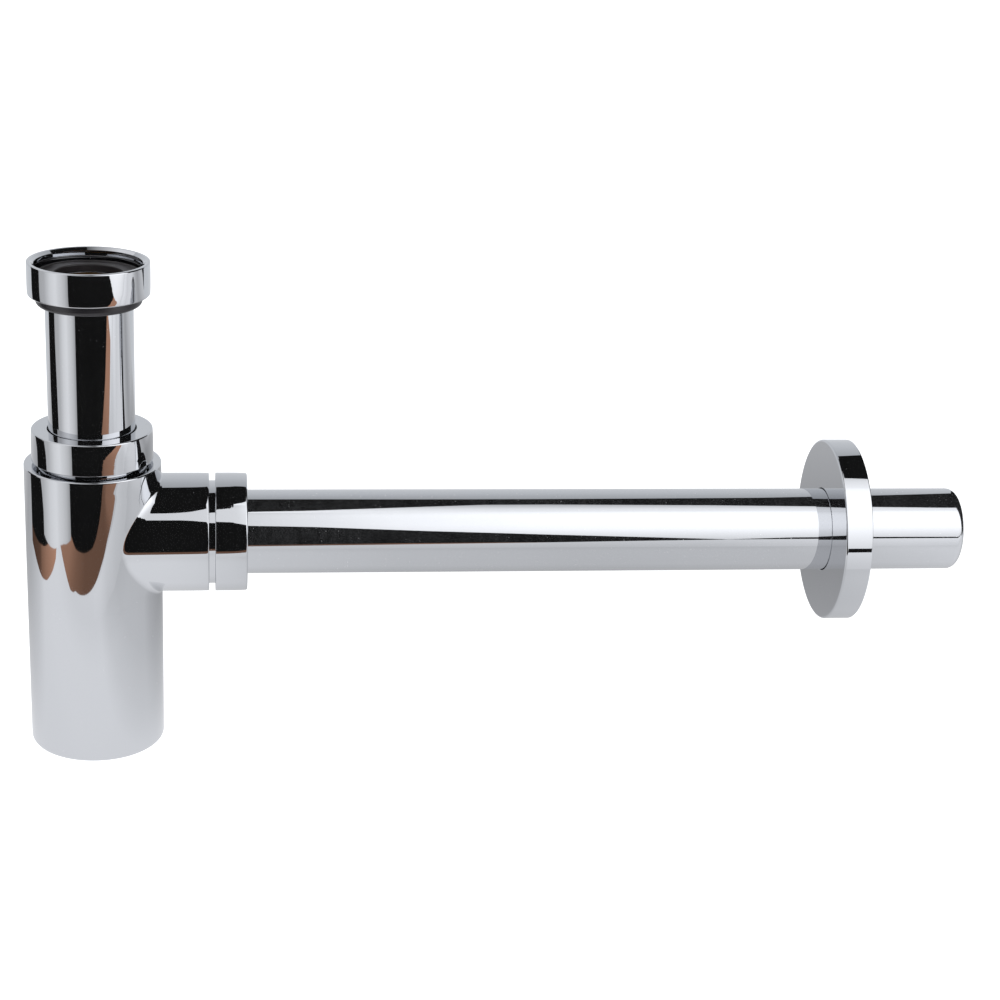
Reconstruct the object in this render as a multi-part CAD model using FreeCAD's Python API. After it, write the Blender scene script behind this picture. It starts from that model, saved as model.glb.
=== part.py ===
import FreeCAD, Part
import math
import os
from FreeCAD import Vector

# A chromed bottle trap for a wash basin. The bottle stands under the basin waste,
# the pipe runs level to the wall. The origin lies on the bottle's axis, on the face
# of the inlet washer where the waste tail seats. +Z points up into the waste, +X
# points along the pipe to the wall. All sizes are in millimetres.

# Clearances.
sliding_clearance = 0.05         # a ring or seal that slides on a tube
passing_clearance = 0.3          # parts that pass each other without touching
cone_clearance = 0.35            # nose of a cone seal to its seat
nut_hole_clearance = 0.4         # end hole of a compression nut round its tube

# Tubes.
tube_radius = 16.0               # drawn tube, 32 mm across, for inlet and outlet
tube_wall = 1.0
tube_end_rounding = 0.3
inlet_tube_length = 125.0
outlet_pipe_length = 300.0
pipe_end_roll = 3.3              # outer radius of the rolled wall end
pipe_end_lip = 0.7               # short flat lip inside the rolled edge
tube_bore_radius = tube_radius - tube_wall
sliding_bore_radius = tube_radius + sliding_clearance
guide_radius = tube_radius + passing_clearance

# Inlet nut.
inlet_nut_height = 12.3
inlet_nut_rim_above_seat = 4.5
inlet_nut_wall = 1.25            # at the relief behind the thread
inlet_nut_edge_rounding = 0.4
inlet_thread_past_tube = 3.476   # to the crest of the G 1 1/4 thread of such a tube
inlet_thread_top = 3.5           # where the mouth chamfer meets the thread
inlet_thread_foot = 0.1          # thread runs this far below the seat
inlet_mouth_chamfer = 1.1
inlet_relief_depth = 1.5
inlet_lip_thickness = 2.5
inlet_thread_radius = tube_radius + inlet_thread_past_tube
inlet_mouth_radius = inlet_thread_radius + inlet_mouth_chamfer
inlet_relief_radius = inlet_thread_radius + inlet_relief_depth
inlet_nut_radius = inlet_relief_radius + inlet_nut_wall

# Inlet washer, and the flare that it lies on.
washer_thickness = 3.0
washer_inside_tube = 3.4         # washer bore inside the tube's outer radius
washer_edge_rounding = 0.3
washer_bore_radius = tube_radius - washer_inside_tube
washer_radius = inlet_thread_radius - passing_clearance
flare_thickness = 1.2
flare_setback = 0.1              # flare edge inside the washer edge
flare_root_rounding = 0.8
flare_radius = washer_radius - flare_setback

# Slip ring under the inlet nut.
slip_sleeve_wall = 1.25
slip_band_width = 2.0
slip_band_height = 3.7
slip_band_rounding = 1.9
slip_sleeve_radius = sliding_bore_radius + slip_sleeve_wall
slip_band_radius = slip_sleeve_radius + slip_band_width
inlet_lip_bore_radius = slip_sleeve_radius + passing_clearance

# Cone seals and their seats.
seat_width = 1.75
seat_depth = 3.0
seal_rim_width = 1.55
seal_height = 2.2
seal_nose = 2.0
seat_radius = guide_radius + seat_width
seal_radius = seat_radius + seal_rim_width

# Compression nuts, the rings in them and the necks that they screw on.
clamp_ring_margin = 0.4          # rings stand out past the seal
neck_thread_margin = 0.2         # thread stands out past the rings
neck_relief_depth = 0.6
thread_start = 0.1               # thread begins this far inside the nut
nut_wall = 2.0
nut_length = 12.0
nut_plate = 2.0
nut_end_rounding = 1.0
nut_foot_rounding = 0.35
slip_ring_thickness = 0.8
clamp_ring_radius = seal_radius + clamp_ring_margin
neck_thread_radius = clamp_ring_radius + neck_thread_margin
neck_relief_radius = neck_thread_radius - neck_relief_depth
nut_bore_radius = neck_thread_radius + passing_clearance
nut_radius = nut_bore_radius + nut_wall
nut_hole_radius = tube_radius + nut_hole_clearance

# Dip tube and gasket.
dip_wall = 1.3
dip_flange_thickness = 1.0
dip_end_above_base = 17.0
gasket_thickness = 0.8
gasket_margin = 0.3              # gasket stands back from the flange edges
dip_radius = guide_radius + dip_wall
neck_bore_radius = dip_radius + passing_clearance

# Bottle with side branch.
collar_top_below_seat = 59.0
collar_to_shoulder_gap = 1.3
body_height = 113.1
body_past_nut = 2.9              # bottle radius beyond that of the collar nut
body_wall = 1.8
base_thickness = 2.4
shoulder_rounding = 0.6
base_rounding = 2.5
inner_rounding = 1.5
branch_length = 17.7             # side of the bottle to the shoulder of the branch
branch_below_shoulder = 6.0
branch_to_nut_gap = 2.3
branch_wall = 1.9
branch_edge_rounding = 0.4
saddle_fillet = 1.5
guide_length = 9.1               # narrow guide for the pipe, back from the shoulder
pipe_start_in_guide = 3.4
body_radius = nut_radius + body_past_nut
branch_radius = nut_radius
branch_bore_radius = branch_radius - branch_wall
branch_reach = body_radius + branch_length
guide_start = branch_reach - guide_length

# Rosette.
rosette_radius = 35.4
rosette_depth = 10.4
rosette_sheet = 1.2
rosette_edge_rounding = 0.3
rosette_from_pipe_end = 54.1
grip_ring_wall = 4.95
grip_ring_length = 6.0
grip_ring_rounding = 1.0
grip_ring_radius = sliding_bore_radius + grip_ring_wall

# Levels and reaches.
inlet_nut_foot = inlet_nut_rim_above_seat - inlet_nut_height
inlet_tube_top = -washer_thickness
collar_top = -collar_top_below_seat
collar_foot = collar_top - nut_length
body_top = collar_foot - collar_to_shoulder_gap
body_base = body_top - body_height
pipe_axis = body_top - branch_below_shoulder - branch_radius
outlet_nut_start = branch_reach + branch_to_nut_gap
outlet_nut_end = outlet_nut_start + nut_length
pipe_start = guide_start + pipe_start_in_guide
pipe_end = pipe_start + outlet_pipe_length
rosette_face = pipe_end - rosette_from_pipe_end

# Construction.
cutter_overshoot = 1.0           # a cutter runs this far past the face it opens
same_place = 0.01                # two positions this close count as one


def turned(profile):
    """Turn a closed profile of (radius, height) points about the vertical axis."""
    points = [Vector(r, 0, h) for r, h in profile]
    face = Part.Face(Part.makePolygon(points + points[:1]))
    return face.revolve(Vector(0, 0, 0), Vector(0, 0, 1), 360)


def ring(inner, outer, low, high):
    """A plain ring between two radii and two heights."""
    return turned([(inner, low), (outer, low), (outer, high), (inner, high)])


def rounded(solid, radius, edges):
    """Round the circular edges named by their (radius, height)."""
    chosen = []
    for edge in solid.Edges:
        curve = edge.Curve
        if not isinstance(curve, Part.Circle):
            continue
        for r, h in edges:
            if abs(curve.Radius - r) < same_place and abs(curve.Center.z - h) < same_place:
                chosen.append(edge)
    return solid.makeFillet(radius, chosen)


def along_pipe(solid):
    """Lay a part that was turned about Z along the pipe: heights become reaches."""
    laid = solid.copy()
    laid.rotate(Vector(0, 0, 0), Vector(0, 1, 0), 90)
    laid.translate(Vector(0, 0, pipe_axis))
    return laid


# Parts of the inlet.
def make_inlet_nut():
    rim = inlet_nut_rim_above_seat
    relief_top = -inlet_thread_foot - inlet_relief_depth
    lip_top = inlet_nut_foot + inlet_lip_thickness
    nut = turned([
        (inlet_nut_radius, inlet_nut_foot),
        (inlet_nut_radius, rim),
        (inlet_mouth_radius, rim),
        (inlet_thread_radius, inlet_thread_top),
        (inlet_thread_radius, -inlet_thread_foot),
        (inlet_relief_radius, relief_top),
        (inlet_relief_radius, lip_top),
        (inlet_lip_bore_radius, lip_top),
        (inlet_lip_bore_radius, inlet_nut_foot),
    ])
    outer_edges = [(inlet_nut_radius, inlet_nut_foot), (inlet_nut_radius, rim)]
    return rounded(nut, inlet_nut_edge_rounding, outer_edges)


def make_inlet_washer():
    washer = ring(washer_bore_radius, washer_radius, -washer_thickness, 0)
    return rounded(washer, washer_edge_rounding, [(washer_bore_radius, 0)])


def make_inlet_tube():
    under_flare = inlet_tube_top - flare_thickness
    foot = inlet_tube_top - inlet_tube_length
    tube = turned([
        (tube_bore_radius, foot),
        (tube_radius, foot),
        (tube_radius, under_flare),
        (flare_radius, under_flare),
        (flare_radius, inlet_tube_top),
        (tube_bore_radius, inlet_tube_top),
    ])
    bends = [(tube_radius, under_flare), (tube_bore_radius, inlet_tube_top)]
    tube = rounded(tube, flare_root_rounding, bends)
    return rounded(tube, tube_end_rounding, [(tube_radius, foot)])


def make_inlet_slip_ring():
    band_top = inlet_nut_foot - passing_clearance
    band_foot = band_top - slip_band_height
    sleeve_top = inlet_tube_top - flare_thickness - flare_root_rounding - passing_clearance
    bush = turned([
        (sliding_bore_radius, band_foot),
        (slip_band_radius, band_foot),
        (slip_band_radius, band_top),
        (slip_sleeve_radius, band_top),
        (slip_sleeve_radius, sleeve_top),
        (sliding_bore_radius, sleeve_top),
    ])
    return rounded(bush, slip_band_rounding, [(slip_band_radius, band_foot)])


# Parts of a compression joint, placed by the end face of its nut.
def make_compression_nut(end):
    foot = end - nut_length
    nut = turned([
        (nut_bore_radius, foot),
        (nut_radius, foot),
        (nut_radius, end),
        (nut_hole_radius, end),
        (nut_hole_radius, end - nut_plate),
        (nut_bore_radius, end - nut_plate),
    ])
    nut = rounded(nut, nut_end_rounding, [(nut_radius, end)])
    return rounded(nut, nut_foot_rounding, [(nut_radius, foot), (nut_hole_radius, end)])


def make_slip_ring(nut_end):
    top = nut_end - nut_plate
    return ring(guide_radius, clamp_ring_radius, top - slip_ring_thickness, top)


def seat_level(nut_end):
    """Height of the wide end of the conical seat under a compression nut."""
    return nut_end - nut_plate - slip_ring_thickness - seal_height


def make_cone_seal(nut_end):
    seat = seat_level(nut_end)
    top = seat + seal_height
    nose_radius = seat_radius - cone_clearance
    nose_end_radius = nose_radius - seat_width * seal_nose / seat_depth
    return turned([
        (sliding_bore_radius, seat - seal_nose),
        (nose_end_radius, seat - seal_nose),
        (nose_radius, seat),
        (seal_radius, seat),
        (seal_radius, top),
        (sliding_bore_radius, top),
    ])


# Dip tube.
def make_dip_tube():
    top = seat_level(collar_top)
    foot = body_base + dip_end_above_base
    return turned([
        (guide_radius, foot),
        (dip_radius, foot),
        (dip_radius, top - dip_flange_thickness),
        (clamp_ring_radius, top - dip_flange_thickness),
        (clamp_ring_radius, top),
        (seat_radius, top),
        (guide_radius, top - seat_depth),
    ])


def make_dip_tube_gasket():
    top = seat_level(collar_top) - dip_flange_thickness
    inner = neck_bore_radius + gasket_margin
    outer = clamp_ring_radius - gasket_margin
    return ring(inner, outer, top - gasket_thickness, top)


# Bottle and side branch.
def saddle_edges(casting):
    """Edges where the side of the branch meets the side of the bottle."""
    chosen = []
    for edge in casting.Edges:
        middle = edge.valueAt((edge.FirstParameter + edge.LastParameter) / 2)
        from_bottle = math.hypot(middle.x, middle.y)
        from_branch = math.hypot(middle.y, middle.z - pipe_axis)
        on_bottle = abs(from_bottle - body_radius) < same_place
        on_branch = abs(from_branch - branch_radius) < same_place
        if on_bottle and on_branch:
            chosen.append(edge)
    return chosen


def make_trap_body():
    neck_rim = seat_level(collar_top) - dip_flange_thickness - gasket_thickness
    bottle = turned([
        (0, body_base),
        (body_radius, body_base),
        (body_radius, body_top),
        (neck_relief_radius, body_top),
        (neck_relief_radius, collar_foot + thread_start),
        (neck_thread_radius, collar_foot + thread_start),
        (neck_thread_radius, neck_rim),
        (0, neck_rim),
    ])
    bottle = rounded(bottle, shoulder_rounding, [(body_radius, body_top)])
    bottle = rounded(bottle, base_rounding, [(body_radius, body_base)])

    branch_rim = seat_level(outlet_nut_end)
    branch = turned([
        (0, 0),
        (branch_radius, 0),
        (branch_radius, branch_reach),
        (neck_relief_radius, branch_reach),
        (neck_relief_radius, outlet_nut_start + thread_start),
        (neck_thread_radius, outlet_nut_start + thread_start),
        (neck_thread_radius, branch_rim),
        (0, branch_rim),
    ])
    branch = rounded(branch, branch_edge_rounding, [(branch_radius, branch_reach)])
    casting = bottle.fuse(along_pipe(branch)).removeSplitter()
    casting = casting.makeFillet(saddle_fillet, saddle_edges(casting))

    cavity_radius = body_radius - body_wall
    cavity_top = body_top - body_wall
    cavity_foot = body_base + base_thickness
    cavity = ring(0, cavity_radius, cavity_foot, cavity_top)
    cavity_edges = [(cavity_radius, cavity_foot), (cavity_radius, cavity_top)]
    cavity = rounded(cavity, inner_rounding, cavity_edges)
    neck_bore = ring(0, neck_bore_radius, cavity_top - cutter_overshoot, neck_rim + cutter_overshoot)
    branch_bore = along_pipe(turned([
        (0, 0),
        (branch_bore_radius, 0),
        (branch_bore_radius, guide_start - (branch_bore_radius - guide_radius)),
        (guide_radius, guide_start),
        (guide_radius, branch_rim - seat_depth),
        (seat_radius, branch_rim),
        (seat_radius, branch_rim + cutter_overshoot),
        (0, branch_rim + cutter_overshoot),
    ]))
    hollow = cavity.fuse(neck_bore).fuse(branch_bore)
    return casting.cut(hollow)


# Pipe and rosette.
def make_outlet_pipe():
    opening = tube_radius - pipe_end_roll - pipe_end_lip
    shell = turned([
        (tube_bore_radius, pipe_start),
        (tube_radius, pipe_start),
        (tube_radius, pipe_end),
        (opening, pipe_end),
        (opening, pipe_end - tube_wall),
        (tube_bore_radius, pipe_end - tube_wall),
    ])
    shell = rounded(shell, pipe_end_roll, [(tube_radius, pipe_end)])
    return rounded(shell, pipe_end_roll - tube_wall, [(tube_bore_radius, pipe_end - tube_wall)])


def make_wall_rosette():
    back = rosette_face + rosette_depth
    rim_bore_radius = rosette_radius - rosette_sheet
    cup = turned([
        (guide_radius, rosette_face),
        (rosette_radius, rosette_face),
        (rosette_radius, back),
        (rim_bore_radius, back),
        (rim_bore_radius, rosette_face + rosette_sheet),
        (guide_radius, rosette_face + rosette_sheet),
    ])
    return rounded(cup, rosette_edge_rounding, [(rosette_radius, rosette_face)])


def make_rosette_grip_ring():
    start = rosette_face + rosette_sheet
    end = start + grip_ring_length
    grip = ring(sliding_bore_radius, grip_ring_radius, start, end)
    return rounded(grip, grip_ring_rounding, [(grip_ring_radius, end)])


parts = {
    "inlet_nut": make_inlet_nut(),
    "inlet_washer": make_inlet_washer(),
    "inlet_slip_ring": make_inlet_slip_ring(),
    "inlet_tube": make_inlet_tube(),
    "collar_nut": make_compression_nut(collar_top),
    "collar_slip_ring": make_slip_ring(collar_top),
    "collar_cone_seal": make_cone_seal(collar_top),
    "dip_tube": make_dip_tube(),
    "dip_tube_gasket": make_dip_tube_gasket(),
    "trap_body": make_trap_body(),
    "outlet_nut": along_pipe(make_compression_nut(outlet_nut_end)),
    "outlet_slip_ring": along_pipe(make_slip_ring(outlet_nut_end)),
    "outlet_cone_seal": along_pipe(make_cone_seal(outlet_nut_end)),
    "outlet_pipe": along_pipe(make_outlet_pipe()),
    "wall_rosette": along_pipe(make_wall_rosette()),
    "rosette_grip_ring": along_pipe(make_rosette_grip_ring()),
}

os.makedirs("parts", exist_ok=True)
for name, shape in parts.items():
    shape.exportStep("parts/" + name + ".step")
    print(name, shape.isValid(), len(shape.Solids), round(shape.Volume, 1))
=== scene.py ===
# %% [markdown]
# # A chromed bottle trap, dressed for its portrait
#
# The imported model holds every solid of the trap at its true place. This lesson
# keeps that frame, spins smoother chrome pieces over it and gives each one its
# finish. Load the frame first, and note the size it may not outgrow.

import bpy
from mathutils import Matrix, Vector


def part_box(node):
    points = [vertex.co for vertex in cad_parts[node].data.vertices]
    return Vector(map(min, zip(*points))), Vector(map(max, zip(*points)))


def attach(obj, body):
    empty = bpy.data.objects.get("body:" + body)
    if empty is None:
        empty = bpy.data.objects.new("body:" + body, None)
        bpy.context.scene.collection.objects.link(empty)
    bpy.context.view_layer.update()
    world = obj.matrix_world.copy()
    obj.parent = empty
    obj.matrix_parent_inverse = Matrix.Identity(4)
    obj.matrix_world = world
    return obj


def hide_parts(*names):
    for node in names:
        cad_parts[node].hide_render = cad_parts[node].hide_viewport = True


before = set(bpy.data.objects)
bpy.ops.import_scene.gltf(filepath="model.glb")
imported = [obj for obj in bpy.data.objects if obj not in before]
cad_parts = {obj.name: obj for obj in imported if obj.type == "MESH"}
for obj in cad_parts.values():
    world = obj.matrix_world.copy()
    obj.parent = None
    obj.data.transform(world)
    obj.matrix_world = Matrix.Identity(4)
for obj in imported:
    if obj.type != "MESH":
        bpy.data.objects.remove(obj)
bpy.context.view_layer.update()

# %% Tools of this lesson
import math

import bmesh
import bpy
from mathutils import Matrix, Vector

MM = 0.001
STEPS = 160            # a full turn of a spun piece
SMOOTH_BELOW = math.radians(32)
scene = bpy.context.scene
scene.view_settings.view_transform = "Standard"

# %% [markdown]
# ## The camera
#
# The photograph looks a little down on the trap from the front. Its viewpoint
# was found from the straight edges of the tubes, so the camera is placed by
# numbers and not by eye. Yaw turns it to the right, pitch tips it down.

# %% Camera
CAMERA_PLACE = Vector((0.04352, -0.77183, 0.1944))
YAW, PITCH, ROLL = (math.radians(a) for a in (8.18, 19.93, 2.66))
LENS = 77.30

ahead = Vector((math.sin(YAW) * math.cos(PITCH), math.cos(YAW) * math.cos(PITCH), -math.sin(PITCH)))
level = Vector((math.cos(YAW), -math.sin(YAW), 0))
over = level.cross(ahead)
right = level * math.cos(ROLL) + over * math.sin(ROLL)
up = over * math.cos(ROLL) - level * math.sin(ROLL)

camera = bpy.data.objects.new("camera", bpy.data.cameras.new("camera"))
camera.data.lens = LENS
camera.data.sensor_width = 36
camera.data.clip_start = 0.01
turn = Matrix((right, up, -ahead)).transposed().to_4x4()
camera.matrix_world = Matrix.Translation(CAMERA_PLACE) @ turn
scene.collection.objects.link(camera)
scene.camera = camera
print("camera at", tuple(round(c, 3) for c in CAMERA_PLACE))

# %% [markdown]
# ## Node helpers
#
# A finish is a graph of nodes. Arithmetic between values would take one Math
# node after another, so a small class wraps a socket and lets plain Python
# operators add those nodes. Every other node comes from one method.


# %% Signals and nodes
class Signal:
    """One output of a node. Arithmetic on it adds Math nodes."""

    def __init__(self, graph, socket):
        self.graph = graph
        self.socket = socket

    def math(self, operation, first, second):
        return self.graph.node("ShaderNodeMath", {"operation": operation}, {0: first, 1: second})

    def __add__(self, other):
        return self.math("ADD", self, other)

    def __radd__(self, other):
        return self.math("ADD", other, self)

    def __sub__(self, other):
        return self.math("SUBTRACT", self, other)

    def __rsub__(self, other):
        return self.math("SUBTRACT", other, self)

    def __mul__(self, other):
        return self.math("MULTIPLY", self, other)

    def __rmul__(self, other):
        return self.math("MULTIPLY", other, self)

    def __gt__(self, other):
        return self.math("GREATER_THAN", self, other)


class Graph:
    """The node tree of one material or of the world."""

    def __init__(self, owner):
        owner.use_nodes = True
        self.tree = owner.node_tree
        self.tree.nodes.clear()

    def node(self, kind, settings=None, sockets=None, output=0):
        made = self.tree.nodes.new(kind)
        for key, value in (settings or {}).items():
            if key == "stops":
                ramp = made.color_ramp.elements
                ramp[0].position, ramp[0].color = value[0]
                ramp[1].position, ramp[1].color = value[-1]
                for place, colour in value[1:-1]:
                    ramp.new(place).color = colour
            else:
                setattr(made, key, value)
        for key, value in (sockets or {}).items():
            if isinstance(value, Signal):
                self.tree.links.new(value.socket, made.inputs[key])
            else:
                made.inputs[key].default_value = value
        return Signal(self, made.outputs[output])

    def blend(self, factor, first, second):
        """Mix two colours by a factor."""
        settings = {"data_type": "RGBA", "clamp_factor": True}
        return self.node("ShaderNodeMix", settings, {0: factor, 6: first, 7: second}, 2)

    def multiply(self, first, second):
        """Multiply two colours."""
        settings = {"data_type": "RGBA", "blend_type": "MULTIPLY"}
        return self.node("ShaderNodeMix", settings, {0: 1.0, 6: first, 7: second}, 2)

    def pattern(self, scale, stretch=(1, 1, 1), detail=3.0):
        """Noise on the piece's own coordinates, in cells per metre."""
        place = self.node("ShaderNodeTexCoord", output="Object")
        fitted = self.node("ShaderNodeMapping", None, {"Vector": place, "Scale": stretch})
        return self.node("ShaderNodeTexNoise", None, {"Vector": fitted, "Scale": scale, "Detail": detail})

    def surface(self, shader, output="ShaderNodeOutputMaterial"):
        """Lead a shader to the tree's output."""
        self.tree.links.new(shader.socket, self.tree.nodes.new(output).inputs["Surface"])


# %% [markdown]
# ## Chrome
#
# Chrome plate is nearly a mirror, so nearly all of its look is what it reflects.
# What tells it from a computer mirror is small: the haze of polishing, faint
# lines left by drawing or turning the brass under the plate, and a few specks
# of dust. All three are stretched noise on the piece's own coordinates.


# %% Chrome finishes
CHROME = (0.64, 0.65, 0.67, 1)
HAZED_CHROME = (0.58, 0.59, 0.62, 1)
DUST = (0.78, 0.79, 0.80, 1)


def chrome(name, grain, specks=0.76, relief=0.012, veil=0.004):
    """Mirror chrome whose polishing lines run across the stretched directions.

    The veil is the small share of light that dust and fine scratches scatter.
    """
    material = bpy.data.materials.new(name)
    graph = Graph(material)
    lines = graph.pattern(90, grain, 2.0)
    haze = graph.pattern(35, (1, 1, 1), 4.0)
    dust = graph.pattern(1500, (1, 1, 1), 1.0) > specks
    plate = graph.blend(haze * 0.45, CHROME, HAZED_CHROME)
    colour = graph.blend(dust, plate, DUST)
    rough = 0.012 + lines * 0.014 + haze * 0.016 + dust * 0.25
    metal = 1.0 - lines * haze * (4 * veil)
    height = graph.node("ShaderNodeBump", None, {"Strength": relief, "Distance": 0.0004, "Height": lines})
    graph.surface(graph.node("ShaderNodeBsdfPrincipled", None, {
        "Base Color": colour, "Metallic": metal, "Roughness": rough, "Normal": height}))
    return material


chrome_cast = chrome("chrome_cast", (0.35, 0.35, 0.35), specks=0.80, relief=0.006)
chrome_turned = chrome("chrome_turned", (0.05, 0.05, 9), specks=0.80)
chrome_turned_pipe = chrome("chrome_turned_pipe", (9, 0.05, 0.05), specks=0.80)
chrome_drawn = chrome("chrome_drawn", (6, 6, 0.05), specks=0.79)
chrome_drawn_pipe = chrome("chrome_drawn_pipe", (5, 1.5, 1.5), specks=0.76, veil=0.019)
print("chrome finishes", 5)

# %% [markdown]
# ## Brass, rubber and plastic
#
# The plate stops a little way inside a tube, and bare brass goes on from there.
# Rubber is black with a soft sheen and a dusty bloom. The thin rings are
# moulded plastic with a fine leathery surface. Each gets one noise for colour
# and roughness and one for relief.


# %% Plain finishes
def plain(name, dark, light, rough, spread, scale, relief, metallic=0.0):
    """A finish between two colours, with rough patches and fine relief."""
    material = bpy.data.materials.new(name)
    graph = Graph(material)
    patches = graph.pattern(scale, (1, 1, 1), 5.0)
    grain = graph.pattern(scale * 14, (1, 1, 1), 2.0)
    height = graph.node("ShaderNodeBump", None, {"Strength": relief, "Distance": 0.0003, "Height": grain})
    graph.surface(graph.node("ShaderNodeBsdfPrincipled", None, {
        "Base Color": graph.blend(patches, dark, light), "Metallic": metallic,
        "Roughness": rough + patches * spread, "Normal": height}))
    return material


brass_bore = plain("brass_bore", (0.30, 0.17, 0.07, 1), (0.62, 0.42, 0.20, 1), 0.25, 0.25, 120, 0.12, 1.0)
washer_rubber = plain(
    "washer_rubber", (0.012, 0.010, 0.011, 1), (0.035, 0.031, 0.032, 1), 0.30, 0.22, 150, 0.10)
seal_rubber = plain("seal_rubber", (0.012, 0.012, 0.012, 1), (0.032, 0.032, 0.033, 1), 0.48, 0.2, 150, 0.2)
bush_plastic = plain("bush_plastic", (0.010, 0.009, 0.011, 1), (0.028, 0.026, 0.030, 1), 0.22, 0.2, 120, 0.08)
ring_plastic = plain("ring_plastic", (0.74, 0.74, 0.71, 1), (0.86, 0.86, 0.84, 1), 0.40, 0.15, 90, 0.12)
dip_plastic = plain("dip_plastic", (0.70, 0.70, 0.67, 1), (0.83, 0.83, 0.80, 1), 0.35, 0.18, 60, 0.12)
print("plain finishes", 6)

# %% [markdown]
# ## Spinning a piece
#
# Nuts, tubes and rosette are all turned, so each is an outline spun about its
# axis. The outline is first a flat face, because a bevel of a face's corners
# rounds them just as a lathe tool would. Then the face goes and its edges spin.


# %% Spin
def outline_edges(bm, points, corners):
    """Draw an outline of (radius, height) points and round the corners named by index."""
    verts = [bm.verts.new((r * MM, 0, h * MM)) for r, h in points]
    face = bm.faces.new(verts)
    for index, radius in corners.items():
        bmesh.ops.bevel(bm, geom=[verts[index]], offset=radius * MM, offset_type="OFFSET",
                        segments=8, profile=0.5, affect="VERTICES", material=-1)
    bmesh.ops.delete(bm, geom=bm.faces[:], context="FACES_ONLY")
    return bm.edges[:]


def spin(bm, edges):
    """Spin edges a full turn about the upright axis and close the seam."""
    verts = list({v for e in edges for v in e.verts})
    bmesh.ops.spin(bm, geom=verts + edges, cent=(0, 0, 0), axis=(0, 0, 1), dvec=(0, 0, 0),
                   angle=math.tau, steps=STEPS, use_merge=True, use_normal_flip=False, use_duplicate=False)
    bmesh.ops.remove_doubles(bm, verts=bm.verts[:], dist=0.002 * MM)


def turned(points, corners=None):
    """A closed outline spun into a solid ring."""
    bm = bmesh.new()
    spin(bm, outline_edges(bm, points, corners or {}))
    bmesh.ops.recalc_face_normals(bm, faces=bm.faces[:])
    return bm


def node_levels(node):
    """Lowest and highest z of a node, and its lowest and highest x, in millimetres."""
    low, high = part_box(node)
    return low.z / MM, high.z / MM, low.x / MM, high.x / MM


PIPE_AXIS = sum(node_levels("outlet_pipe")[:2]) / 2
TUBE_RADIUS = 16       # these four are radii in millimetres, as are the later ones
TUBE_BORE = 15
SLIDING_BORE = 16.05   # rings that grip a tube
GUIDE_BORE = 16.3      # holes that a tube passes through
print("pipe axis at z", round(PIPE_AXIS, 2), "mm")

# %% [markdown]
# ## From mesh to piece
#
# The outlet side is spun upright like the rest and then laid along the pipe.
# A finished piece is shaded smooth except where it has a true edge, and a
# Weighted Normal modifier keeps the broad faces of the mirror flat next to
# their small rounded edges. It then rides with its body and hides its solid.


# %% Finish a piece
def lay_along_pipe(bm):
    """Turn a piece that was spun upright so that its heights become reaches."""
    bmesh.ops.rotate(bm, verts=bm.verts[:], cent=(0, 0, 0), matrix=Matrix.Rotation(math.pi / 2, 3, "Y"))
    bmesh.ops.translate(bm, verts=bm.verts[:], vec=(0, 0, PIPE_AXIS * MM))


def add_piece(name, bm, materials, node, body, inner=None):
    """Make the object. Faces that answer to inner take the second material."""
    for face in bm.faces:
        face.smooth = True
        if inner and inner(face):
            face.material_index = 1
    for edge in bm.edges:
        edge.smooth = edge.calc_face_angle(0) < SMOOTH_BELOW
    mesh = bpy.data.meshes.new(name)
    bm.to_mesh(mesh)
    bm.free()
    for material in materials:
        mesh.materials.append(material)
    piece = bpy.data.objects.new(name, mesh)
    scene.collection.objects.link(piece)
    even = piece.modifiers.new("even_normals", "WEIGHTED_NORMAL")
    even.keep_sharp = True
    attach(piece, body)
    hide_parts(node)
    print(name, len(mesh.polygons), "faces")


# %% [markdown]
# ## Threads
#
# A thread is a small tooth that climbs as it turns. The same spin makes it:
# the tooth's outline is spun with a rise at each step. The ends of a real
# thread run out, so the last part of a turn sinks back into the wall.


# %% Thread
def add_thread(bm, root, crest, start, pitch, turns, width):
    """Spin a tooth from root to crest radius, starting at a height, all in millimetres."""
    steps = int(STEPS * turns)
    tooth = [(root, -width / 2), (crest, -width / 10), (crest, width / 10), (root, width / 2)]
    verts = [bm.verts.new((0, -r * MM, (start + h) * MM)) for r, h in tooth]
    edges = [bm.edges.new((verts[i], verts[i - 1])) for i in range(len(verts))]
    before = set(bm.verts) - set(verts)
    bmesh.ops.spin(bm, geom=verts + edges, cent=(0, 0, 0), axis=(0, 0, 1), dvec=(0, 0, pitch * MM / STEPS),
                   angle=math.tau * turns, steps=steps, use_merge=False, use_normal_flip=False,
                   use_duplicate=False)
    made = [v for v in bm.verts if v not in before]
    ends = [e for e in bm.edges if e.is_boundary and e.verts[0] not in before]
    bmesh.ops.holes_fill(bm, edges=ends, sides=4)
    for index, vert in enumerate(made):
        ring = index // len(tooth)
        fade = min(1, ring / (STEPS / 8), (steps - ring) / (STEPS / 8))
        radius = math.hypot(vert.co.x, vert.co.y)
        wanted = root * MM + (radius - root * MM) * fade
        vert.co.x *= wanted / radius
        vert.co.y *= wanted / radius
    faces = list({f for v in made for f in v.link_faces})
    bmesh.ops.recalc_face_normals(bm, faces=faces)


# %% [markdown]
# ## Union nut
#
# The nut at the top is open, so its inside shows: a broad chamfer, the first
# crest of the thread, a groove and the next crest above the washer. The outline
# ends in the first crest, and one turn of thread climbs below it.

# %% Union nut
CROWN_STEPS = 12


def crowned(radius, flat_height, end_height, drop):
    """Outline points from where a wall is straight to its end, curving in ever more."""
    shares = [k / CROWN_STEPS for k in range(CROWN_STEPS + 1)]
    rise = end_height - flat_height
    return [(radius - drop * share ** 3, flat_height + rise * share) for share in shares]


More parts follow.
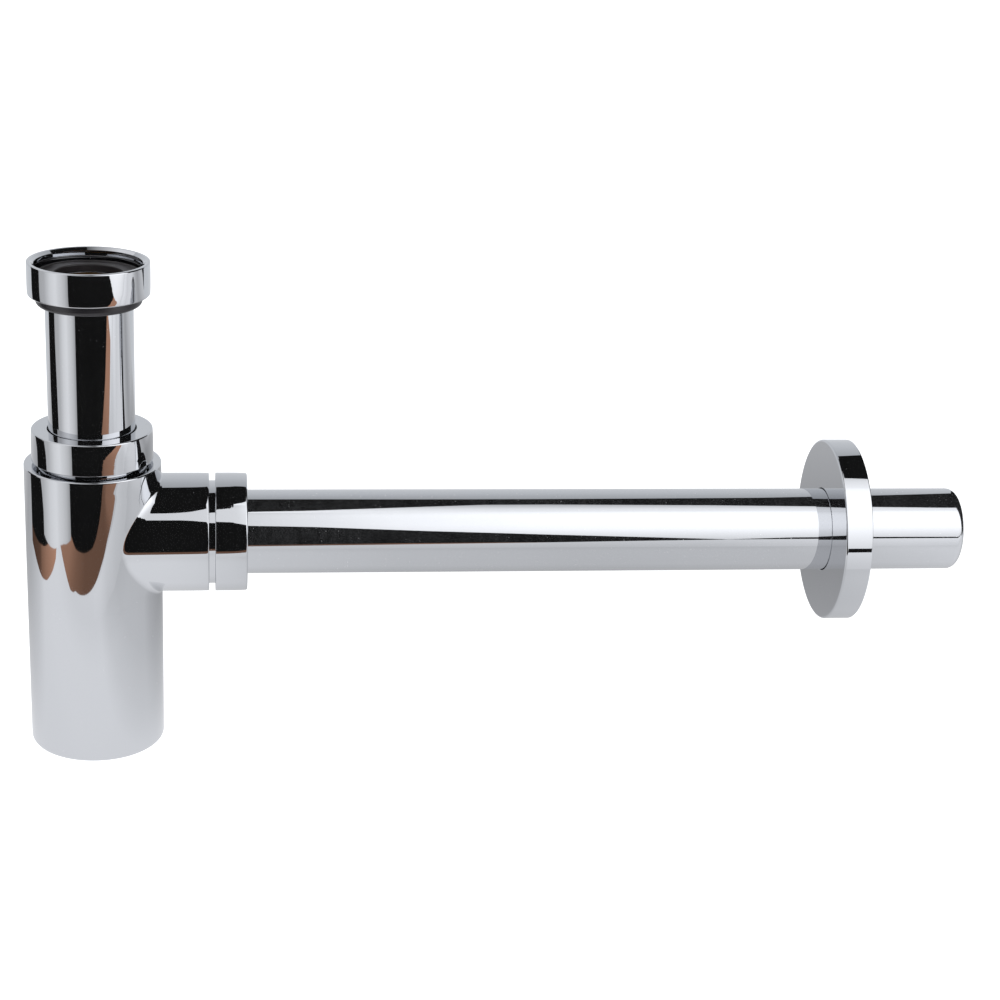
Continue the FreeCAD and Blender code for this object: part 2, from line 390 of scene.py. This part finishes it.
NUT_FOOT, NUT_RIM, _, NUT_RADIUS = node_levels("inlet_nut")
NUT_WAIST = (NUT_FOOT + NUT_RIM) / 2
MOUTH_RADIUS = 20.9
CHAMFER_FOOT = 19.6    # radius where the mouth's chamfer ends in the first crest
THREAD_CREST = 19.5
THREAD_ROOT = 20.95
UNION_PITCH = 2.309    # eleven turns to the inch
LIP_BORE = 17.6
LIP_TOP = NUT_FOOT + 2.5
lower_wall = crowned(NUT_RADIUS, NUT_WAIST, NUT_FOOT, 0.14)
upper_wall = crowned(NUT_RADIUS, NUT_WAIST, NUT_RIM, 0.04)
wall = lower_wall[:0:-1] + upper_wall
nut = turned(
    wall + [(MOUTH_RADIUS, NUT_RIM), (CHAMFER_FOOT, 3.55), (CHAMFER_FOOT, 3.3), (THREAD_ROOT, 2.6),
            (THREAD_ROOT, LIP_TOP), (LIP_BORE, LIP_TOP), (LIP_BORE, NUT_FOOT)],
    {len(wall) + 6: 0.3, len(wall): 0.15, len(wall) - 1: 0.45, 0: 0.48})
add_thread(nut, THREAD_ROOT, THREAD_CREST, 0.3, UNION_PITCH, 0.95, 1.7)
add_piece("union_nut", nut, [chrome_turned], "inlet_nut", "inlet_nut")

# %% [markdown]
# ## Washer and bush
#
# A black washer lies in the nut, with a moulded rim along its bore. Under the
# nut a black bush shows its rounded band. Both are outlines with soft corners.

# %% Washer and bush
WASHER_BORE = 12.6
WASHER_RADIUS = 19.176
WASHER_FOOT = -3.0
DISH = -0.25           # the face between the washer's two rims
washer = turned(
    [(WASHER_BORE, WASHER_FOOT), (WASHER_RADIUS, WASHER_FOOT), (WASHER_RADIUS, 0), (18.6, 0), (18.3, DISH),
     (15.2, DISH), (14.9, 0), (WASHER_BORE, 0)],
    {1: 0.2, 2: 0.15, 7: 0.5, 0: 0.4})
add_piece("union_washer", washer, [washer_rubber], "inlet_washer", "inlet_tube")

BUSH_FOOT, BUSH_TOP, _, BUSH_RADIUS = node_levels("inlet_slip_ring")
BUSH_SHOULDER = BUSH_FOOT + 3.7
SLEEVE_RADIUS = 17.3
bush = turned(
    [(SLIDING_BORE, BUSH_FOOT), (BUSH_RADIUS, BUSH_FOOT), (BUSH_RADIUS, BUSH_SHOULDER),
     (SLEEVE_RADIUS, BUSH_SHOULDER), (SLEEVE_RADIUS, BUSH_TOP), (SLIDING_BORE, BUSH_TOP)],
    {0: 0.2, 1: 1.9, 2: 0.25, 4: 0.3})
add_piece("union_bush", bush, [bush_plastic], "inlet_slip_ring", "inlet_bush")

# %% [markdown]
# ## Drawn tubes
#
# Both tubes are thin, so the outline is a long narrow loop. The inlet tube has
# a flare that carries the washer, and the wall pipe ends in a rolled edge. The
# plating thins out inside, where the second material shows brass.


# %% Drawn tubes
def in_bore(axis_height, reach, low, high):
    """Whether a face looks into the bore, well inside the two ends."""
    def answer(face):
        centre = face.calc_center_median()
        along = centre.x if reach else centre.z
        out = math.hypot(centre.y, (centre.z - axis_height * MM) if reach else centre.x)
        return out < (TUBE_BORE + 0.2) * MM and low * MM < along < high * MM
    return answer


TUBE_FOOT, TUBE_TOP, _, FLARE_RADIUS = node_levels("inlet_tube")
FLARE_FOOT = TUBE_TOP - 1.2
tube = turned(
    [(TUBE_BORE, TUBE_FOOT), (TUBE_RADIUS, TUBE_FOOT), (TUBE_RADIUS, FLARE_FOOT), (FLARE_RADIUS, FLARE_FOOT),
     (FLARE_RADIUS, TUBE_TOP), (TUBE_BORE, TUBE_TOP)],
    {1: 0.3, 0: 0.3, 2: 0.8, 3: 0.4, 4: 0.4, 5: 0.8})
add_piece("drop_tube", tube, [chrome_drawn, brass_bore], "inlet_tube", "inlet_tube",
          in_bore(0, False, TUBE_FOOT + 3, TUBE_TOP - 2))

PIPE_START, PIPE_END = node_levels("outlet_pipe")[2:]
ROLL_OPENING = 12      # radius of the hole that the rolled edge leaves
pipe = turned(
    [(TUBE_BORE, PIPE_START), (TUBE_RADIUS, PIPE_START), (TUBE_RADIUS, PIPE_END), (ROLL_OPENING, PIPE_END),
     (ROLL_OPENING, PIPE_END - 1), (TUBE_BORE, PIPE_END - 1)],
    {1: 0.3, 0: 0.3, 2: 3.3, 5: 2.3, 3: 0.4, 4: 0.4})
lay_along_pipe(pipe)
add_piece("wall_pipe", pipe, [chrome_drawn_pipe, brass_bore], "outlet_pipe", "outlet_pipe",
          in_bore(PIPE_AXIS, True, PIPE_START + 3, PIPE_END - 6))

# %% [markdown]
# ## Compression nuts
#
# The collar and the outlet nut are the same turned nut, one upright and one
# laid along the pipe. Inside runs a fine thread that clears the neck.

# %% Compression nuts
SEEN_NUT = 22.5
CROWN = 7.0            # length over which the outer end curves in
CROWN_DROP = 0.2
NUT_LENGTH = 12
NUT_PLATE = 2
NUT_BORE = 20.75
NUT_HOLE = 16.4
NUT_THREAD = (20.78, 20.5)         # root and crest radius
NUT_TURNS = 5
FINE_PITCH = 1.5       # of the thread between a neck and its nut
FINE_TOOTH = 1.1


def compression_nut(end):
    """A nut whose closed face is at the given height, slightly crowned towards it."""
    foot = end - NUT_LENGTH
    plate = end - NUT_PLATE
    crown = crowned(SEEN_NUT, end - CROWN, end, CROWN_DROP)
    tip = len(crown) + 1
    made = turned(
        [(NUT_BORE, foot), (SEEN_NUT, foot), *crown, (NUT_HOLE, end), (NUT_HOLE, plate), (NUT_BORE, plate)],
        {1: 0.35, tip: 0.55, tip + 1: 0.35, 0: 0.2})
    add_thread(made, *NUT_THREAD, foot + 1.2, FINE_PITCH, NUT_TURNS, FINE_TOOTH)
    return made


COLLAR_TOP = node_levels("collar_nut")[1]
add_piece("collar_nut_turned", compression_nut(COLLAR_TOP), [chrome_turned], "collar_nut", "collar_nut")
OUTLET_NUT_END = node_levels("outlet_nut")[3]
branch_nut = compression_nut(OUTLET_NUT_END)
lay_along_pipe(branch_nut)
add_piece("branch_nut_turned", branch_nut, [chrome_turned_pipe], "outlet_nut", "outlet_nut")

# %% [markdown]
# ## Bottle and branch
#
# This is the hard piece: two round walls that meet in a saddle. They blend
# tightly above and below and softly at the sides. A boolean would leave ragged
# shading that a mirror shows at once. So the bottle is spun, a patch of its
# wall is cut out, and the patch's border is extruded ring by ring, over the
# wall to the saddle, round the blend and out along the branch. Every ring has
# the same number of points, so all is quads.

# %% Tee
PATCH_TURN = math.radians(76)      # half the patch round the bottle
PATCH_HALF = 24.7                  # half its height
PATCH_ROWS = 34
PATCH_RINGS = 5
BLEND_RINGS = 9


def set_rings(bm, loop, places):
    """Extrude a loop of edges once for each function that places its points."""
    around = bm.verts.layers.float.get("around")
    for place in places:
        made = bmesh.ops.extrude_edge_only(bm, edges=loop)["geom"]
        fresh = {g for g in made if isinstance(g, bmesh.types.BMVert)}
        loop = [g for g in made if isinstance(g, bmesh.types.BMEdge) and fresh.issuperset(g.verts)]
        for vert in fresh:
            vert.co = place(vert[around], vert)


def soft_saddle(angle):
    """Radii of the blend on the bottle and on the branch: tight above and below, soft at the sides."""
    side = math.sin(angle) ** 2
    return 1.0 + 2.4 * side, 1.0 + 7.0 * side


def sharp_saddle(angle):
    """No blend: the walls of the hollow meet in an edge."""
    return 0.0, 0.0


def tee(points, corners, open_edges, bottle, branch, saddle, reaches):
    """Spin a bottle of a given radius, open its side and lead the wall out as a branch."""
    bm = bmesh.new()
    around = bm.verts.layers.float.new("around")
    start_turn = bm.verts.layers.float.new("start_turn")
    start_height = bm.verts.layers.float.new("start_height")
    edges = outline_edges(bm, points, corners)
    low, high = (PIPE_AXIS - PATCH_HALF) * MM, (PIPE_AXIS + PATCH_HALF) * MM
    hidden = [e for e in edges if open_edges(e)]
    bmesh.ops.delete(bm, geom=hidden, context="EDGES")
    wall = [e for e in bm.edges if sorted(round(v.co.z - z, 6) for v, z in zip(
        sorted(e.verts, key=lambda v: v.co.z), (low, high))) == [0, 0]]
    bmesh.ops.subdivide_edges(bm, edges=wall, cuts=PATCH_ROWS - 1)
    spin(bm, bm.edges[:])
    bmesh.ops.recalc_face_normals(bm, faces=bm.faces[:])
    patch = []
    for face in bm.faces:
        centre = face.calc_center_median()
        if abs(math.atan2(centre.y, centre.x)) < PATCH_TURN and low < centre.z < high \
                and math.hypot(centre.x, centre.y) > (bottle - 0.2) * MM:
            patch.append(face)
    rim = {e for f in patch for e in f.edges}
    opened = set(patch)
    rim = [e for e in rim if sum(f in opened for f in e.link_faces) == 1]
    bmesh.ops.delete(bm, geom=patch, context="FACES")
    rim = [e for e in rim if e.is_valid]
    for vert in {v for e in rim for v in e.verts}:
        vert[start_turn] = math.atan2(vert.co.y, vert.co.x)
        vert[start_height] = vert.co.z / MM - PIPE_AXIS
        vert[around] = math.atan2(vert[start_turn] / PATCH_TURN, vert[start_height] / PATCH_HALF)

    def ball(angle, radius):
        """Centre of a ball that touches both walls outside the saddle."""
        y, z = (branch + radius) * math.sin(angle), (branch + radius) * math.cos(angle)
        return Vector((math.sqrt((bottle + radius) ** 2 - y * y), y, z))

    def over_wall(share):
        def place(angle, vert):
            goal = ball(angle, saddle(angle)[0])
            turn_to = math.atan2(goal.y, goal.x)
            at = vert[start_turn] + (turn_to - vert[start_turn]) * share
            height = vert[start_height] + (goal.z - vert[start_height]) * share
            on_wall = Vector((bottle * math.cos(at), bottle * math.sin(at), PIPE_AXIS + height))
            return on_wall * MM
        return place

    def blend_walls(share):
        """A curve from bottle to branch whose control point lies in both tangent planes."""
        def place(angle, vert):
            on_bottle, on_tube = (ball(angle, radius) for radius in saddle(angle))
            bottle_normal = Vector((on_bottle.x, on_bottle.y, 0)).normalized()
            start = bottle_normal * bottle + Vector((0, 0, on_bottle.z))
            tube_normal = Vector((0, math.sin(angle), math.cos(angle)))
            end = Vector((on_tube.x, 0, 0)) + tube_normal * branch
            along = bottle_normal.cross(tube_normal)
            planes = Matrix((bottle_normal, tube_normal, along))
            middle = along.dot(start + end) / 2
            levels = Vector((bottle_normal.dot(start), tube_normal.dot(end), middle))
            control = planes.inverted() @ levels
            out = start.lerp(control, share).lerp(control.lerp(end, share), share)
            return (out + Vector((0, 0, PIPE_AXIS))) * MM
        return place

    def on_branch(reach, radius):
        def place(angle, vert):
            around_pipe = Vector((reach, radius * math.sin(angle), PIPE_AXIS + radius * math.cos(angle)))
            return around_pipe * MM
        return place

    places = [over_wall(k / PATCH_RINGS) for k in range(1, PATCH_RINGS + 1)]
    if saddle is not sharp_saddle:
        places += [blend_walls(k / BLEND_RINGS) for k in range(1, BLEND_RINGS + 1)]
    places += [on_branch(reach, radius) for reach, radius in reaches]
    set_rings(bm, rim, places)
    bmesh.ops.remove_doubles(bm, verts=bm.verts[:], dist=0.002 * MM)
    bmesh.ops.recalc_face_normals(bm, faces=bm.faces[:])
    return bm


BASE, NECK_RIM = node_levels("trap_body")[:2]
BODY = -node_levels("trap_body")[2]
BRANCH_RIM = node_levels("trap_body")[3]
BODY_TOP = BASE + 113.1
BRANCH = 22.5
BRANCH_BORE = 20.6
BRANCH_SHOULDER = 43.1
WALL = 1.8
FLOOR_WALL = 2.4
NECK = 20.0
NECK_RELIEF = 19.6
NECK_BORE = 17.9
BRANCH_SEAT = 18.05    # wide end of the cone seat in the branch's mouth
LOW, HIGH = PIPE_AXIS - PATCH_HALF, PIPE_AXIS + PATCH_HALF


def beside_axis(edge):
    """Edges that only closed the outline: on the axis or across the mouth."""
    radii = sorted(abs(v.co.x) for v in edge.verts)
    heights = [v.co.z for v in edge.verts]
    across_mouth = min(heights) > (NECK_RIM - 0.01) * MM and radii[0] < 0.01 * MM
    return radii[1] < 0.01 * MM or across_mouth


branch_wall = crowned(BRANCH, BRANCH_SHOULDER - 8, BRANCH_SHOULDER - 0.4, 0.05)
shoulder = [(0.27, 22.41), (0.12, 22.33), (0.03, 22.19), (0, 22.05), (0, NECK_RELIEF)]
outer = tee(
    [(0, BASE), (BODY, BASE), (BODY, LOW), (BODY, HIGH), (BODY, BODY_TOP), (NECK_RELIEF, BODY_TOP),
     (NECK_RELIEF, NECK_RIM - 5.4), (NECK, NECK_RIM - 5.0), (NECK, NECK_RIM), (0, NECK_RIM)],
    {1: 2.5, 4: 0.6, 8: 0.3}, beside_axis, BODY, BRANCH, soft_saddle,
    [(31, BRANCH), *[(reach, radius) for radius, reach in branch_wall],
     *[(BRANCH_SHOULDER - back, radius) for back, radius in shoulder],
     (BRANCH_RIM - 5.4, NECK_RELIEF), (BRANCH_RIM - 5.0, NECK), (BRANCH_RIM, NECK),
     (BRANCH_RIM, BRANCH_SEAT)])
INSIDE = BODY - WALL
INSIDE_FOOT, INSIDE_TOP = BASE + FLOOR_WALL, BODY_TOP - WALL
inner = tee(
    [(0, INSIDE_FOOT), (INSIDE, INSIDE_FOOT), (INSIDE, LOW), (INSIDE, HIGH), (INSIDE, INSIDE_TOP),
     (NECK_BORE, INSIDE_TOP), (NECK_BORE, NECK_RIM), (0, NECK_RIM)],
    {1: 1.5, 4: 0.9}, beside_axis, INSIDE, BRANCH_BORE, sharp_saddle,
    [(28, BRANCH_BORE), (29.7, BRANCH_BORE), (34, GUIDE_BORE), (BRANCH_RIM - 3, GUIDE_BORE),
     (BRANCH_RIM, BRANCH_SEAT)])
print("tee outer", len(outer.faces), "inner", len(inner.faces))

# %% [markdown]
# ## Joining the two walls
#
# The hollow is the same construction with smaller radii. Its faces are turned
# to look inwards, the two are put in one mesh, the branch's mouths coincide and
# merge, and a bridge closes the neck's rim. Fine threads go on both necks.

# %% Join
NECK_THREAD = (19.98, 20.2)        # root and crest radius
NECK_TURNS = 2.6
THREAD_BELOW_RIM = 4.6
bmesh.ops.reverse_faces(inner, faces=inner.faces[:])
hollow = bpy.data.meshes.new("hollow")
inner.to_mesh(hollow)
inner.free()
outer.from_mesh(hollow)
bpy.data.meshes.remove(hollow)
bmesh.ops.remove_doubles(outer, verts=outer.verts[:], dist=0.004 * MM)
neck_loops = [e for e in outer.edges if e.is_boundary]
bmesh.ops.bridge_loops(outer, edges=neck_loops)
print("open edges left", sum(e.is_boundary for e in outer.edges))
add_thread(outer, *NECK_THREAD, NECK_RIM - THREAD_BELOW_RIM, FINE_PITCH, NECK_TURNS, FINE_TOOTH)
branch_thread = bmesh.new()
add_thread(branch_thread, *NECK_THREAD, BRANCH_RIM - THREAD_BELOW_RIM, FINE_PITCH, NECK_TURNS, FINE_TOOTH)
lay_along_pipe(branch_thread)
spare = bpy.data.meshes.new("spare")
branch_thread.to_mesh(spare)
branch_thread.free()
outer.from_mesh(spare)
bpy.data.meshes.remove(spare)
add_piece("bottle_casting", outer, [chrome_cast], "trap_body", "bottle")

# %% [markdown]
# ## Rosette and its grip
#
# The rosette is pressed from sheet, so its outline is a thin cup with a tight
# bend. Behind it sits a rubber ring with a shallow groove round it.

# %% Rosette
ROSETTE_FACE, ROSETTE_BACK = node_levels("wall_rosette")[2:]
ROSETTE_RADIUS = node_levels("wall_rosette")[1] - PIPE_AXIS
SHEET = 1.2
ROSETTE_BEHIND = ROSETTE_FACE + SHEET
rosette = turned(
    [(GUIDE_BORE, ROSETTE_FACE), (ROSETTE_RADIUS, ROSETTE_FACE), (ROSETTE_RADIUS, ROSETTE_BACK),
     (ROSETTE_RADIUS - SHEET, ROSETTE_BACK), (ROSETTE_RADIUS - SHEET, ROSETTE_BEHIND),
     (GUIDE_BORE, ROSETTE_BEHIND)],
    {0: 0.25, 1: 0.8, 2: 0.4, 3: 0.25, 4: 0.3})
lay_along_pipe(rosette)
add_piece("rosette_cover", rosette, [chrome_turned_pipe], "wall_rosette", "rosette")

GRIP_START, GRIP_END = node_levels("rosette_grip_ring")[2:]
GRIP_FACE = GRIP_START + 0.05      # a hair off the rosette, which turns against it
GRIP_RADIUS = 21
GROOVE_RADIUS = 20.6
grip = turned(
    [(SLIDING_BORE, GRIP_FACE), (GRIP_RADIUS, GRIP_FACE), (GRIP_RADIUS, GRIP_START + 1.5),
     (GROOVE_RADIUS, GRIP_START + 1.8), (GROOVE_RADIUS, GRIP_START + 2.4), (GRIP_RADIUS, GRIP_START + 2.7),
     (GRIP_RADIUS, GRIP_END), (SLIDING_BORE, GRIP_END)],
    {6: 0.9, 7: 0.4})
lay_along_pipe(grip)
add_piece("rosette_grip", grip, [seal_rubber], "rosette_grip_ring", "rosette_grip")

# %% [markdown]
# ## Solids that stay
#
# Seals, slip rings, gasket and dip tube are right as they come from the packed
# model, and only need their finish.

# %% Finish for the kept solids
for node, material in {
    "collar_cone_seal": seal_rubber, "outlet_cone_seal": seal_rubber, "dip_tube_gasket": seal_rubber,
    "collar_slip_ring": ring_plastic, "outlet_slip_ring": ring_plastic, "dip_tube": dip_plastic,
}.items():
    for material_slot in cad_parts[node].material_slots:
        material_slot.material = material
print("kept solids", 6)

# %% [markdown]
# ## The studio
#
# A mirror needs something to mirror. The real trap stood on a glossy pale table
# with brown wood beyond it, between a bright sheet in front with an opening for
# the camera, a card at the left and a pale backdrop. Each is a flat card that
# glows, brighter here and fainter there, and is hidden from the camera.


# %% Cards
def fade(graph, axis, stops):
    """A grey level that changes along an axis, from stops of (metres, level)."""
    first, last = stops[0][0], stops[-1][0]
    place = graph.node("ShaderNodeTexCoord", output="Object")
    along = graph.node("ShaderNodeSeparateXYZ", None, {0: place}, "XYZ".index(axis))
    shares = [((at - first) / (last - first), (level, level, level, 1)) for at, level in stops]
    share = (along - first) * (1 / (last - first))
    return graph.node("ShaderNodeValToRGB", {"stops": shares}, {"Fac": share})


def card(name, corners, tint, strength, fades=()):
    """A flat glowing card from its corners, in metres, with a glow that may fade along axes."""
    bm = bmesh.new()
    bm.faces.new([bm.verts.new(c) for c in corners])
    mesh = bpy.data.meshes.new(name)
    bm.to_mesh(mesh)
    bm.free()
    material = bpy.data.materials.new(name)
    graph = Graph(material)
    glow = (*tint, 1)
    for axis, stops in fades:
        glow = graph.multiply(glow, fade(graph, axis, stops))
    graph.surface(graph.node("ShaderNodeEmission", None, {"Color": glow, "Strength": strength}))
    mesh.materials.append(material)
    made = bpy.data.objects.new(name, mesh)
    made.visible_camera = False
    made.visible_shadow = False
    scene.collection.objects.link(made)


def upright(y, outline):
    """Corners of a card that faces the camera, from its (x, z) outline."""
    return [(x, y, z) for x, z in outline]


def flat(z, outline):
    """Corners of a level card from its (x, y) outline."""
    return [(x, y, z) for x, y in outline]


FLOOR = BASE * MM - 0.0002
CEILING = 0.40
FRONT, BACK = -0.165, 0.40
TABLE_TINT = (0.963, 0.974, 1.0)
BACK_TINT = (0.93, 0.96, 1.0)
SHEET_TINT = (0.97, 0.98, 1.0)
WOOD = (1.0, 0.54, 0.36)

# %% Table and wood
# The table's glow is painted darker behind the trap and along the pipe to its right: a painted shadow of the
# trap on the table, seen only in the chrome.
card("table", flat(FLOOR, [
    (-0.196, -0.030), (-0.199, -0.081), (-0.203, -0.107), (-0.212, -0.120), (-0.213, -0.132),
    (-0.205, -0.146), (-0.196, -0.151), (-0.174, -0.153), (-0.147, -0.155), (-0.118, -0.157),
    (-0.104, -0.164), (-0.094, -0.172),
    (-0.070, -0.179), (-0.045, -0.187), (-0.012, -0.198), (0.024, -0.211), (0.049, -0.221), (0.098, -0.236),
    (0.25, -0.266), (0.90, -0.420), (0.90, BACK), (-0.55, BACK), (-0.39, 0.28), (-0.33, 0.19),
    (-0.264, 0.144), (-0.208, 0.113), (-0.209, 0.087), (-0.205, 0.046), (-0.199, 0.009)]),
    TABLE_TINT, 1.26,
    [("Y", [(-0.30, 0.80), (-0.16, 0.75), (-0.11, 0.80), (-0.06, 0.80), (-0.01, 0.78), (0.03, 0.66),
            (0.12, 0.47), (0.19, 0.40), (0.30, 0.54), (0.40, 0.64)]),
     ("X", [(-0.30, 1.0), (0.025, 1.0), (0.06, 0.88), (0.12, 0.76), (0.20, 0.72), (0.30, 0.76), (0.37, 0.95),
            (0.60, 1.0)])])
card("wood_front", flat(FLOOR - 0.001, [
    (-0.26, -0.125), (-0.26, -0.16), (-0.20, -0.205), (-0.15, -0.222), (-0.115, -0.224), (-0.077, -0.235),
    (-0.035, -0.246), (0.0, -0.254), (0.028, -0.266), (0.057, -0.283), (0.083, -0.302), (0.105, -0.325),
    (0.145, -0.350), (0.33, -0.39), (0.90, -0.56), (0.90, -0.15)]),
    WOOD, 0.5,
    [("X", [(-0.20, 0.85), (-0.15, 0.78), (-0.12, 0.60), (-0.10, 0.50), (-0.05, 0.37), (0.09, 0.35),
            (0.12, 0.40), (0.15, 0.60), (0.35, 1.0)])])
card("wood_left", flat(FLOOR - 0.001, [
    (-0.19, 0.125), (-0.19, -0.12), (-0.243, -0.12), (-0.242, -0.03), (-0.243, 0.012), (-0.240, 0.053),
    (-0.232, 0.125)]),
    WOOD, 0.62,
    [("Y", [(-0.12, 1.0), (-0.06, 0.77), (-0.03, 0.65), (0.005, 0.45), (0.022, 0.24), (0.05, 0.19),
            (0.11, 0.15)])])

# %% Cards at the left and behind
card("left_card", [(-0.2363, -0.005, -0.150), (-0.2338, -0.015, -0.157), (-0.232, -0.022, -0.165),
                   (-0.232, -0.022, -0.1765), (-0.2255, -0.048, -0.179), (-0.218, -0.078, -0.181),
                   (-0.208, -0.117, -0.1835), (-0.205, -0.13, -0.1845), (-0.205, -0.13, 0.35),
                   (-0.245, 0.03, 0.35), (-0.245, 0.03, -0.09), (-0.2405, 0.012, -0.120)],
     SHEET_TINT, 1.2, [("Y", [(-0.13, 0.88), (-0.11, 0.86), (-0.08, 0.79), (-0.063, 0.70), (-0.046, 0.62),
                              (-0.027, 0.52), (0.0, 0.50), (0.03, 0.45)])])
card("left_card_front", [(-0.205, -0.13, -0.1845), (-0.187, -0.1384, -0.179), (-0.160, -0.151, -0.173),
                         (-0.136, -0.1622, -0.169), (-0.115, -0.172, -0.165), (-0.115, -0.172, 0.35),
                         (-0.205, -0.13, 0.35)],
     SHEET_TINT, 1.2, [("X", [(-0.205, 0.87), (-0.187, 0.80), (-0.160, 0.72), (-0.136, 0.60),
                              (-0.115, 0.38)])])
card("backdrop", upright(BACK, [
    (-0.55, FLOOR), (0.56, FLOOR), (0.515, 0.27), (0.50, 0.38), (0.46, 0.59), (0.40, 0.64), (0.29, 0.697),
    (0.20, 0.69), (0.12, 0.642), (0.07, 0.637), (0.05, 0.70), (0.0, 0.78), (-0.55, 0.80)]),
    BACK_TINT, 0.95, [("Z", [(-0.185, 0.84), (0.15, 0.80), (0.40, 0.66), (0.65, 0.58)])])

# %% Sheets in front and overhead
card("front_sheet", upright(FRONT, [
    (-0.60, 0.045), (0.030, 0.044), (0.036, 0.039), (0.042, 0.032), (0.049, 0.028), (0.055, 0.024),
    (0.0595, 0.016), (0.075, 0.008), (0.09, 0.000), (0.115, -0.022), (0.142, -0.043), (0.195, -0.075),
    (0.279, -0.119), (0.31, -0.106), (0.36, -0.106), (0.40, -0.109), (0.90, -0.109),
    (0.90, CEILING), (0.0625, CEILING),
    (0.061, 0.345), (0.0585, 0.295), (0.0555, 0.262), (0.052, 0.240), (0.048, 0.222), (0.044, 0.206),
    (0.039, 0.187), (0.035, 0.166), (0.031, 0.150), (0.027, 0.139), (0.022, 0.132), (0.014, 0.129),
    (-0.60, 0.10)]),
    SHEET_TINT, 1.75,
    [("X", [(0.02, 0.56), (0.064, 0.62), (0.13, 0.84), (0.20, 0.95), (0.30, 1.0)]),
     ("Z", [(-0.12, 0.58), (-0.065, 0.80), (-0.03, 0.94), (0.02, 1.0), (0.20, 1.0), (0.35, 0.90),
            (0.40, 0.85)])])
card("low_strip", upright(FRONT, [
    (0.0, FLOOR), (0.0, -0.174), (0.019, -0.170), (0.037, -0.165), (0.057, -0.1595), (0.083, -0.155),
    (0.112, -0.151), (0.139, -0.147), (0.196, -0.137), (0.237, -0.128), (0.279, -0.1205), (0.36, -0.118),
    (0.90, -0.118), (0.90, FLOOR)]),
    TABLE_TINT, 1.14,
    [("X", [(0.0, 1.03), (0.03, 1.0), (0.06, 0.91), (0.12, 0.82), (0.20, 0.79), (0.27, 0.82), (0.37, 1.02),
            (0.60, 1.06)]),
     ("Z", [(-0.186, 0.82), (-0.165, 0.86), (-0.118, 1.0)])])
card("overhead_sheet", flat(CEILING, [
    (0.062, FRONT), (0.063, -0.150), (0.07, -0.135), (0.10, -0.115), (0.21, 0.045), (0.25, 0.048),
    (0.35, 0.012), (0.50, -0.08), (0.90, FRONT)]),
    SHEET_TINT, 1.4, [("Y", [(-0.165, 1.0), (-0.08, 0.85), (0.05, 0.45)])])
card("overhead_left", flat(CEILING, [
    (-1.2, -0.30), (0.003, -0.30), (0.003, 0.06), (-0.10, 0.20), (-0.30, 0.60), (-1.2, 1.0)]),
    SHEET_TINT, 1.1, [("X", [(-1.0, 0.6), (-0.2, 0.9), (-0.06, 0.45), (0.003, 0.12)])])
print("cards", 10)

# %% [markdown]
# ## Floor and background
#
# The picture's background is plain white. The floor is pale and matt and adds
# light of its own for camera rays only. The glowing cards light it so evenly
# that the trap's shadow all but goes. The world is white to the camera and
# nearly black to the mirror.

# %% Floor and world
FLOOR_GLOW = 0.6
MIRRORED_WORLD = 0.007
SOFT_WORLD = 0.7
floor_mesh = bpy.data.meshes.new("floor")
floor_bm = bmesh.new()
bmesh.ops.create_grid(floor_bm, x_segments=1, y_segments=1, size=8)
bmesh.ops.translate(floor_bm, verts=floor_bm.verts[:], vec=(0, 0, FLOOR - 0.0003))
floor_bm.to_mesh(floor_mesh)
floor_bm.free()
floor_paint = bpy.data.materials.new("floor")
graph = Graph(floor_paint)
seen = graph.node("ShaderNodeLightPath", output="Is Camera Ray")
matt = graph.node("ShaderNodeBsdfDiffuse", None, {"Color": (0.9, 0.9, 0.9, 1)})
glow = graph.node("ShaderNodeEmission", None, {"Color": (1, 1, 1, 1), "Strength": seen * FLOOR_GLOW})
graph.surface(graph.node("ShaderNodeAddShader", None, {0: matt, 1: glow}))
floor_mesh.materials.append(floor_paint)
floor = bpy.data.objects.new("floor", floor_mesh)
floor.visible_glossy = False
scene.collection.objects.link(floor)

world = bpy.data.worlds.new("studio")
scene.world = world
graph = Graph(world)
path = graph.node("ShaderNodeLightPath", output="Is Camera Ray")
mirror = graph.node("ShaderNodeLightPath", output="Is Glossy Ray")
level_light = path + (1 - path) * (MIRRORED_WORLD * mirror + SOFT_WORLD * (1 - mirror))
back = graph.node("ShaderNodeBackground", None, {"Color": (1, 1, 1, 1), "Strength": level_light})
graph.surface(back, "ShaderNodeOutputWorld")
print("floor at z", round(FLOOR, 4))
